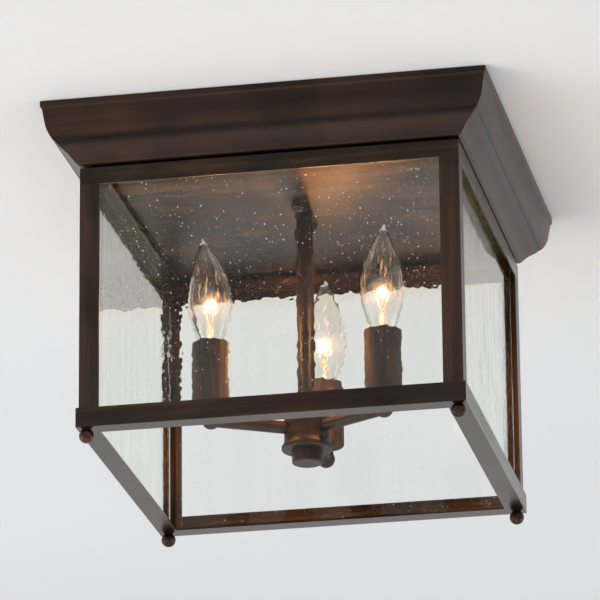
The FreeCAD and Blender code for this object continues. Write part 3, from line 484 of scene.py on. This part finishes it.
def plain_mesh(name, holder, body):
    """Turns an object with its modifiers into a plain mesh piece that rides on a body."""
    bpy.context.view_layer.update()
    graph = bpy.context.evaluated_depsgraph_get()
    mesh = bpy.data.meshes.new_from_object(holder.evaluated_get(graph), depsgraph=graph)
    mesh.name = name
    mesh.transform(holder.matrix_world)
    old = holder.data
    bpy.data.objects.remove(holder)
    if old.users == 0:
        bpy.data.meshes.remove(old)
    piece = bpy.data.objects.new(name, mesh)
    bpy.context.scene.collection.objects.link(piece)
    for polygon in mesh.polygons:
        polygon.use_smooth = True
    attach(piece, body)
    return piece


def grown(name, tree, values, material, place, body):
    """A piece grown by a geometry tree, with the tree's named inputs set to values."""
    holder = bpy.data.objects.new(name + "_holder", bpy.data.meshes.new(name + "_holder"))
    bpy.context.scene.collection.objects.link(holder)
    holder.matrix_world = place
    growth = holder.modifiers.new("growth", "NODES")
    growth.node_group = tree
    for item in tree.interface.items_tree:
        if item.item_type == "SOCKET" and item.in_out == "INPUT":
            if item.name in values:
                growth[item.identifier] = values[item.name]
            elif item.name == "Finish":
                growth[item.identifier] = material
    return plain_mesh(name, holder, body)


def new_growth(name, inputs):
    """An empty geometry tree with named inputs and one geometry output."""
    tree = bpy.data.node_groups.new(name, "GeometryNodeTree")
    for label, (kind, default) in inputs.items():
        socket = tree.interface.new_socket(label, in_out="INPUT", socket_type=kind)
        socket.default_value = default
    tree.interface.new_socket("Finish", in_out="INPUT", socket_type="NodeSocketMaterial")
    tree.interface.new_socket("Geometry", in_out="OUTPUT", socket_type="NodeSocketGeometry")
    given = add(tree, "NodeGroupInput")
    result = add(tree, "NodeGroupOutput")
    return tree, given.outputs, result


def seed_growth():
    """Air seeds scattered through a pane that stands in the local XY plane."""
    tree, given, result = new_growth("seeds_in_pane", {
        "Width": ("NodeSocketFloat", 0.25), "Height": ("NodeSocketFloat", 0.17),
        "Seeds per Square Metre": ("NodeSocketFloat", 9000.0),
        "Smallest Radius": ("NodeSocketFloat", 0.00017),
        "Largest Radius": ("NodeSocketFloat", 0.0005),
        "Depth Spread": ("NodeSocketFloat", 0.0005), "Seed": ("NodeSocketInt", 3)})
    sheet = add(tree, "GeometryNodeMeshGrid", {"Vertices X": 9, "Vertices Y": 7},
                {"Size X": given["Width"], "Size Y": given["Height"]})
    # Seeds gather in drifts: the density falls to a third between them.
    place = add(tree, "GeometryNodeInputPosition")
    drift = add(tree, "ShaderNodeTexNoise", {"noise_dimensions": "4D", "Scale": 16.0,
                                             "Detail": 1.0},
                {"Vector": place.outputs[0], "W": given["Seed"]})
    share = add(tree, "ShaderNodeMapRange", {"From Min": 0.35, "From Max": 0.65,
                                             "To Min": 0.35, "To Max": 1.6},
                {"Value": drift.outputs["Fac"]})
    crowd = add(tree, "ShaderNodeMath", {"operation": "MULTIPLY"},
                {0: share.outputs[0], 1: given["Seeds per Square Metre"]})
    fine = add(tree, "GeometryNodeSubdivideMesh", {"Level": 3}, {"Mesh": sheet.outputs["Mesh"]})
    points = add(tree, "GeometryNodeDistributePointsOnFaces", {"distribute_method": "RANDOM"},
                 {"Mesh": fine.outputs[0], "Density": crowd.outputs[0], "Seed": given["Seed"]})
    depth = add(tree, "FunctionNodeRandomValue", {"data_type": "FLOAT", 2: -1.0, 3: 1.0},
                {"Seed": given["Seed"]})
    pushed = add(tree, "ShaderNodeMath", {"operation": "MULTIPLY"},
                 {0: depth.outputs[1], 1: given["Depth Spread"]})
    shift = add(tree, "ShaderNodeCombineXYZ", links={2: pushed.outputs[0]})
    spread = add(tree, "GeometryNodeSetPosition", links={"Geometry": points.outputs["Points"],
                                                         "Offset": shift.outputs[0]})
    bubble = add(tree, "GeometryNodeMeshUVSphere", {"Segments": 6, "Rings": 4, "Radius": 1.0})
    luck = add(tree, "FunctionNodeRandomValue", {"data_type": "FLOAT", "Seed": 11})
    rare = add(tree, "ShaderNodeMath", {"operation": "POWER", 1: 5.0}, {0: luck.outputs[1]})
    radius = add(tree, "ShaderNodeMapRange", links={"Value": rare.outputs[0],
                                                    "To Min": given["Smallest Radius"],
                                                    "To Max": given["Largest Radius"]})
    # The sheet was drawn downwards, so seeds are a third longer that way.
    longer = add(tree, "ShaderNodeMath", {"operation": "MULTIPLY", 1: 1.35},
                 {0: radius.outputs[0]})
    size = add(tree, "ShaderNodeCombineXYZ", links={0: radius.outputs[0], 1: longer.outputs[0],
                                                    2: radius.outputs[0]})
    seeds = add(tree, "GeometryNodeInstanceOnPoints",
                links={"Points": spread.outputs[0], "Instance": bubble.outputs["Mesh"],
                       "Scale": size.outputs[0]})
    real = add(tree, "GeometryNodeRealizeInstances", links={"Geometry": seeds.outputs[0]})
    finished = add(tree, "GeometryNodeSetMaterial", links={"Geometry": real.outputs[0],
                                                           "Material": given["Finish"]})
    tree.links.new(finished.outputs[0], result.inputs["Geometry"])
    return tree


def thread_growth():
    """The ridge of a screw thread, wound up the local Z axis from the origin."""
    tree, given, result = new_growth("screw_thread", {
        "Radius": ("NodeSocketFloat", 0.005), "Pitch": ("NodeSocketFloat", 0.001),
        "Length": ("NodeSocketFloat", 0.01), "Ridge": ("NodeSocketFloat", 0.0003)})
    turns = add(tree, "ShaderNodeMath", {"operation": "DIVIDE"},
                {0: given["Length"], 1: given["Pitch"]})
    coil = add(tree, "GeometryNodeCurveSpiral", {"Resolution": 40},
               {"Rotations": turns.outputs[0], "Start Radius": given["Radius"],
                "End Radius": given["Radius"], "Height": given["Length"]})
    ridge = add(tree, "GeometryNodeCurvePrimitiveCircle", {"Resolution": 6},
                {"Radius": given["Ridge"]})
    wound = add(tree, "GeometryNodeCurveToMesh", {"Fill Caps": True},
                {"Curve": coil.outputs[0], "Profile Curve": ridge.outputs[0]})
    real = add(tree, "GeometryNodeRealizeInstances", links={"Geometry": wound.outputs[0]})
    finished = add(tree, "GeometryNodeSetMaterial", links={"Geometry": real.outputs[0],
                                                           "Material": given["Finish"]})
    tree.links.new(finished.outputs[0], result.inputs["Geometry"])
    return tree


def middle(node):
    """The middle of a CAD node's box, and its lowest and highest corners."""
    low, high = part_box(node)
    return (low + high) / 2, low, high


# ---------------------------------------------------------------- materials on the nodes

BRONZE = {
    # Crown: brushed along the moulding, so the streaks run level on every side.
    "crown": oil_rubbed_bronze("oil_rubbed_bronze_crown", "#251915", "#33241C", "#423023",
                               (260.0, 260.0, 14.0), patch_share=0.35, shaded_valley_mm=-28.5),
    # Rails: brushed along their length.
    "rails": oil_rubbed_bronze("oil_rubbed_bronze_rails", "#241A16", "#2F231D", "#40301F",
                               (120.0, 120.0, 6.0), rough=(0.2, 0.3)),
    # Posts: brushed up and down.
    "posts": oil_rubbed_bronze("oil_rubbed_bronze_posts", "#2A201B", "#382B23", "#4A382A",
                               (7.0, 7.0, 110.0)),
    "plate": oil_rubbed_bronze("oil_rubbed_bronze_plate", "#221C18", "#332B25", "#584C42",
                               (70.0, 9.0, 70.0), metal=0.9, rough=(0.34, 0.46),
                               edge_share=0.0, patch_share=0.15),
    "cluster": oil_rubbed_bronze("oil_rubbed_bronze_cluster", "#2E2421", "#3C302B", "#52413A",
                                 (20.0, 20.0, 8.0), metal=0.5, rough=(0.46, 0.58),
                                 patch_share=0.3),
    # Stem: brushed along its length, and darker than the cast pieces below it.
    "stem": oil_rubbed_bronze("oil_rubbed_bronze_stem", "#1C1613", "#272019", "#3B2E28",
                              (5.0, 5.0, 40.0), metal=0.6, rough=(0.36, 0.5),
                              patch_share=0.3),
    "sleeves": oil_rubbed_bronze("oil_rubbed_bronze_sleeves", "#2D2119", "#3B2C22", "#584232",
                                 (4.0, 4.0, 50.0), metal=0.2, rough=(0.55, 0.68),
                                 edge_mm=0.5, patch_share=0.3),
    "balls": oil_rubbed_bronze("oil_rubbed_bronze_balls", "#211614", "#32211C", "#5A3A2C",
                               (5.0, 5.0, 5.0), rough=(0.24, 0.36), edge_share=0.0),
}
ZINC = zinc_plated_steel()
BRASS = drawn_brass()
PHENOLIC = moulded_phenolic()
GREEN = green_screw_coating()
AIR_SEED = air_seed()
GLASS = {0: seeded_sheet_glass("seeded_sheet_glass_across_x", 0, 1.0, "#FCFDFB", "#FAFBF8",
                               "#F6EFE2"),
         1: seeded_sheet_glass("seeded_sheet_glass_across_y", 1, 0.4, "#FCFDF8", "#EAEFE2",
                               "#B9C48C")}


def finish_of(node):
    """The finish that a CAD node gets."""
    if node == "crown":
        return BRONZE["crown"]
    if "_rail_" in node:
        return BRONZE["rails"]
    if node.startswith("post_"):
        return BRONZE["posts"]
    if node == "top_plate":
        return BRONZE["plate"]
    if node == "stem":
        return BRONZE["stem"]
    if node.startswith("ball_finial"):
        return BRONZE["balls"]
    if node.startswith("candle_sleeve"):
        return BRONZE["sleeves"]
    if node.startswith("glass_pane"):
        return GLASS[0 if node.endswith(("front", "back")) else 1]
    if node.startswith("bulb_glass"):
        return clear_bulb_glass(node.rsplit("_", 1)[1])
    if node.startswith("filament"):
        return glowing_tungsten(node.rsplit("_", 1)[1])
    if node.startswith("bulb_cap"):
        return BRASS
    if node.startswith("socket"):
        return PHENOLIC
    if node == "ground_screw":
        return GREEN
    if node in ("stem_nipple", "lock_washer", "stem_locknut", "hub_nipple", "crossbar") or \
            node.startswith(("riser", "mounting_screw")):
        return ZINC
    return BRONZE["cluster"]


for node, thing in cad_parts.items():
    finish = finish_of(node)
    thing.data.materials.clear()
    thing.data.materials.append(finish)


# ---------------------------------------------------------------- extra pieces

seeds_in_pane = seed_growth()
for order, (side, along_x) in enumerate(SIDES.items()):
    centre, low, high = middle(f"glass_pane_{side}")
    width = (high.x - low.x) if along_x else (high.y - low.y)
    tall = high.z - low.z
    # The pane's local X runs along its width and local Y runs up.
    turn = Matrix.Rotation(math.radians(90.0), 4, "X")
    if not along_x:
        turn = Matrix.Rotation(math.radians(90.0), 4, "Z") @ turn
    grown(f"glass_seeds_{side}", seeds_in_pane,
          {"Width": width - BARE_BORDER, "Height": tall - BARE_BORDER, "Seed": 5 + 7 * order,
           "Seeds per Square Metre": SEEDS_PER_M2},
          AIR_SEED, Matrix.Translation(centre) @ turn, LANTERN)

screw_thread = thread_growth()
for side in CANDLES:
    centre, low, _ = middle(f"bulb_cap_{side}")
    place = Matrix.Translation((centre.x, centre.y, low.z + CAP_THREAD_START * MM))
    grown(f"cap_thread_{side}", screw_thread,
          {"Radius": CAP_THREAD_RADIUS * MM, "Pitch": CAP_PITCH * MM,
           "Length": CAP_THREAD_LENGTH * MM, "Ridge": CAP_THREAD_RIDGE * MM},
          BRASS, place, f"bulb_{side}")
for node, (radius_mm, pitch_mm, bare_mm) in RODS.items():
    centre, low, high = middle(node)
    radius = radius_mm * MM or (high.x - low.x) / 2 - ROD_RIDGE_SUNK * MM
    place = Matrix.Translation((centre.x, centre.y, low.z + bare_mm * MM))
    grown(f"thread_on_{node}", screw_thread,
          {"Radius": radius, "Pitch": pitch_mm * MM,
           "Length": high.z - low.z - 2 * bare_mm * MM, "Ridge": ROD_RIDGE * MM},
          ZINC, place, LANTERN)


# ---------------------------------------------------------------- stage, light, camera

def sheet_object(name, size, hole, height):
    """A flat sheet with a square hole, such as the one for a lamp's junction box."""
    mesh = bpy.data.meshes.new(name)
    rings = [[(-half, -half, height), (-half, half, height), (half, half, height),
              (half, -half, height)] for half in (size / 2, hole / 2)]
    mesh.from_pydata(rings[0] + rings[1], [],
                     [(n, (n + 1) % 4, 4 + (n + 1) % 4, 4 + n) for n in range(4)])
    made = bpy.data.objects.new(name, mesh)
    bpy.context.scene.collection.objects.link(made)
    made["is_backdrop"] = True
    return made


def painted_ceiling():
    """Flat white ceiling paint. To the eye: an even, very pale grey with no shine."""
    material, tree, surface, output, coords = new_material("painted_ceiling")
    roller = add(tree, "ShaderNodeTexNoise", {"Scale": 1.4, "Detail": 1.0}, {"Vector": coords})
    tone = add(tree, "ShaderNodeValToRGB", links={"Fac": roller.outputs["Fac"]},
               stops=[(0.3, linear("#EBEDEE")), (0.7, linear("#F0F2F3"))])
    tree.links.new(tone.outputs[0], surface.inputs["Base Color"])
    surface.inputs["Roughness"].default_value = 1.0
    surface.inputs["Specular IOR Level"].default_value = 0.0
    # From above the ceiling is not in the way.
    side = add(tree, "ShaderNodeNewGeometry")
    clear = add(tree, "ShaderNodeBsdfTransparent")
    both = add(tree, "ShaderNodeMixShader", links={0: side.outputs["Backfacing"],
                                                   1: surface.outputs[0], 2: clear.outputs[0]})
    tree.links.new(both.outputs[0], output.inputs["Surface"])
    return material


ceiling = sheet_object("ceiling", CEILING_WIDTH, CEILING_HOLE, CEILING_HEIGHT)
ceiling.data.materials.append(painted_ceiling())

scene = bpy.context.scene
world = bpy.data.worlds.new("studio")
scene.world = world
world.use_nodes = True
air = world.node_tree
air.nodes.clear()
seen = add(air, "ShaderNodeBackground", {"Color": linear("#FFFFFF"), "Strength": SKY_SEEN})
lit = add(air, "ShaderNodeBackground", {"Color": linear("#FFFFFF"), "Strength": SKY_LIGHT})
path = add(air, "ShaderNodeLightPath")
straight = add(air, "ShaderNodeMath", {"operation": "MAXIMUM"},
               {0: path.outputs["Is Camera Ray"], 1: path.outputs["Is Transmission Ray"]})
white = add(air, "ShaderNodeMath", {"operation": "MAXIMUM"},
            {0: straight.outputs[0], 1: path.outputs["Is Glossy Ray"]})
choice = add(air, "ShaderNodeMixShader", links={0: white.outputs[0], 1: lit.outputs[0],
                                                2: seen.outputs[0]})
add(air, "ShaderNodeOutputWorld", links={"Surface": choice.outputs[0]})


# One window, a wash of its own and the sky light the ceiling, so that the lantern's
# shadow falls to the right. The other lamps light the CAD nodes alone.
lantern_only = bpy.data.collections.new("lantern_only")
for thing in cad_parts.values():
    lantern_only.objects.link(thing)
ceiling_only = bpy.data.collections.new("ceiling_only")
ceiling_only.objects.link(ceiling)


def soft_lamp(name, place, aim, size, watts, colour, lights=None):
    """A square soft box that faces its aim and lights everything or one collection."""
    data = bpy.data.lights.new(name, "AREA")
    data.shape = "SQUARE"
    data.size = size
    data.energy = watts
    data.color = linear(colour)[:3]
    lamp = bpy.data.objects.new(name, data)
    lamp.location = place
    lamp.rotation_euler = (Vector(aim) - Vector(place)).to_track_quat("-Z", "Y").to_euler()
    scene.collection.objects.link(lamp)
    if lights:
        lamp.light_linking.receiver_collection = lights


CENTRE = (0.0, 0.0, -0.12)
soft_lamp("window_left", (-2.8, -0.8, -1.6), CENTRE, 2.0, 24.0, "#FFFFFF")
soft_lamp("window_right", (2.8, 1.2, -1.3), CENTRE, 1.8, 20.0, "#FFF4E8", lantern_only)
soft_lamp("fill_below", (0.2, -0.6, -2.6), CENTRE, 2.2, 15.0, "#FFFAF4", lantern_only)
soft_lamp("ceiling_wash", (-3.6, -2.6, -3.2), (0.3, 1.0, 0.0), 3.0, 80.0, "#F6FAFF",
          ceiling_only)

# Each filament gives light with one lamp, and is seen with faint ones, a white core
# in rings of haze: radius and height above the filament in mm, then watts and colour.
GLOWS = {"light": (4.0, -1.5, 0.45, "#FFB066"), "core": (3.9, 1.5, 2.8e-3, "#FFE3BE"),
         "fringe": (5.6, 1.5, 7.0e-4, "#FFB36C"), "haze": (7.8, 1.8, 7.0e-4, "#FFC08A"),
         "veil": (10.5, 2.2, 5.6e-4, "#FFC08A"), "breath": (13.4, 2.6, 4.4e-4, "#FFC590")}
for side in CANDLES:
    low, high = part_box(f"filament_{side}")
    for role, (radius_mm, rise_mm, watts, colour) in GLOWS.items():
        data = bpy.data.lights.new(f"{role}_{side}", "POINT")
        data.energy = watts
        data.shadow_soft_size = radius_mm * MM
        data.color = linear(colour)[:3]
        glow = bpy.data.objects.new(f"{role}_{side}", data)
        glow.location = ((low.x + high.x) / 2, (low.y + high.y) / 2, high.z + rise_mm * MM)
        scene.collection.objects.link(glow)
        glow.visible_transmission = role != "light"
        glow.visible_diffuse = glow.visible_glossy = role == "light"
        glow.light_linking.receiver_collection = lantern_only
        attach(glow, f"bulb_{side}")

# The camera, solved from the corners of the crown, cage and frame. The roll is in radians.
CAMERA_PLACE = Vector((0.6625, -3.4490, -1.3357))
CAMERA_AIM = Vector((-0.00441, 0.0, -0.11009))
CAMERA_ROLL = -0.01005
LENS_MM = 297.7

lens = bpy.data.cameras.new("camera")
lens.lens = LENS_MM
lens.sensor_width = 36.0
lens.clip_start = 0.1
lens.clip_end = 60.0
camera = bpy.data.objects.new("camera", lens)
forward = (CAMERA_AIM - CAMERA_PLACE).normalized()
right = forward.cross(Vector((0, 0, 1))).normalized()
up = right.cross(forward)
rolled_right = math.cos(CAMERA_ROLL) * right + math.sin(CAMERA_ROLL) * up
rolled_up = math.cos(CAMERA_ROLL) * up - math.sin(CAMERA_ROLL) * right
turn = Matrix((rolled_right, rolled_up, -forward)).transposed().to_4x4()
camera.matrix_world = Matrix.Translation(CAMERA_PLACE) @ turn
scene.collection.objects.link(camera)
scene.camera = camera
scene.view_settings.view_transform = "Standard"

low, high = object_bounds()
